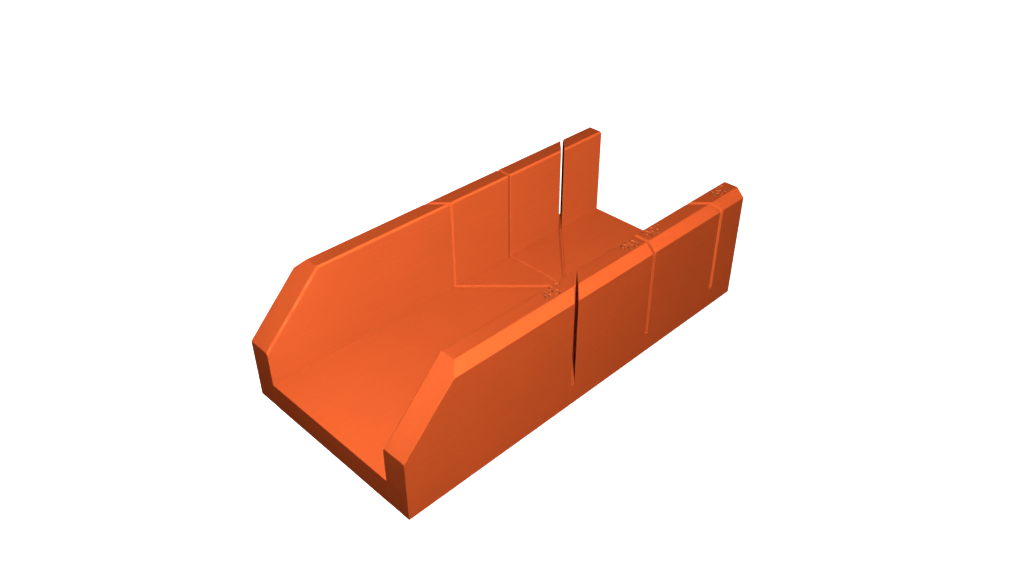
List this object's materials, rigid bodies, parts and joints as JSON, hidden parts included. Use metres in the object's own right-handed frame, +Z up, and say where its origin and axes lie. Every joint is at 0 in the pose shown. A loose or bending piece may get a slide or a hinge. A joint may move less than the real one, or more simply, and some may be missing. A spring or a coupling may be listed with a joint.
{
  "type": "mitre box",
  "caption": "U-shaped saw guide: a flat bed between two upright side boards, slotted square and at 45 degrees both ways, with a ramped end.",
  "frame": {"origin": "middle of the underside", "axes": "+X along the bed, from the ramped end to the square end; +Y from the user's side to the back; +Z up"},
  "size_m": [0.25, 0.12, 0.07],
  "materials": {
    "base_paint": "matt orange paint on close-grained board",
    "front_paint": "matt orange paint on close-grained board",
    "back_paint": "matt orange paint on close-grained board",
    "beech": "plain turned beech"
  },
  "bodies": {
    "root": {"base_board": "base_paint", "front_side_board": "front_paint", "back_side_board": "back_paint", "front_dowel_1": "beech", "front_dowel_2": "beech", "front_dowel_3": "beech", "front_dowel_4": "beech", "front_dowel_5": "beech", "back_dowel_1": "beech", "back_dowel_2": "beech", "back_dowel_3": "beech", "back_dowel_4": "beech", "back_dowel_5": "beech"}
  },
  "joints": []
}
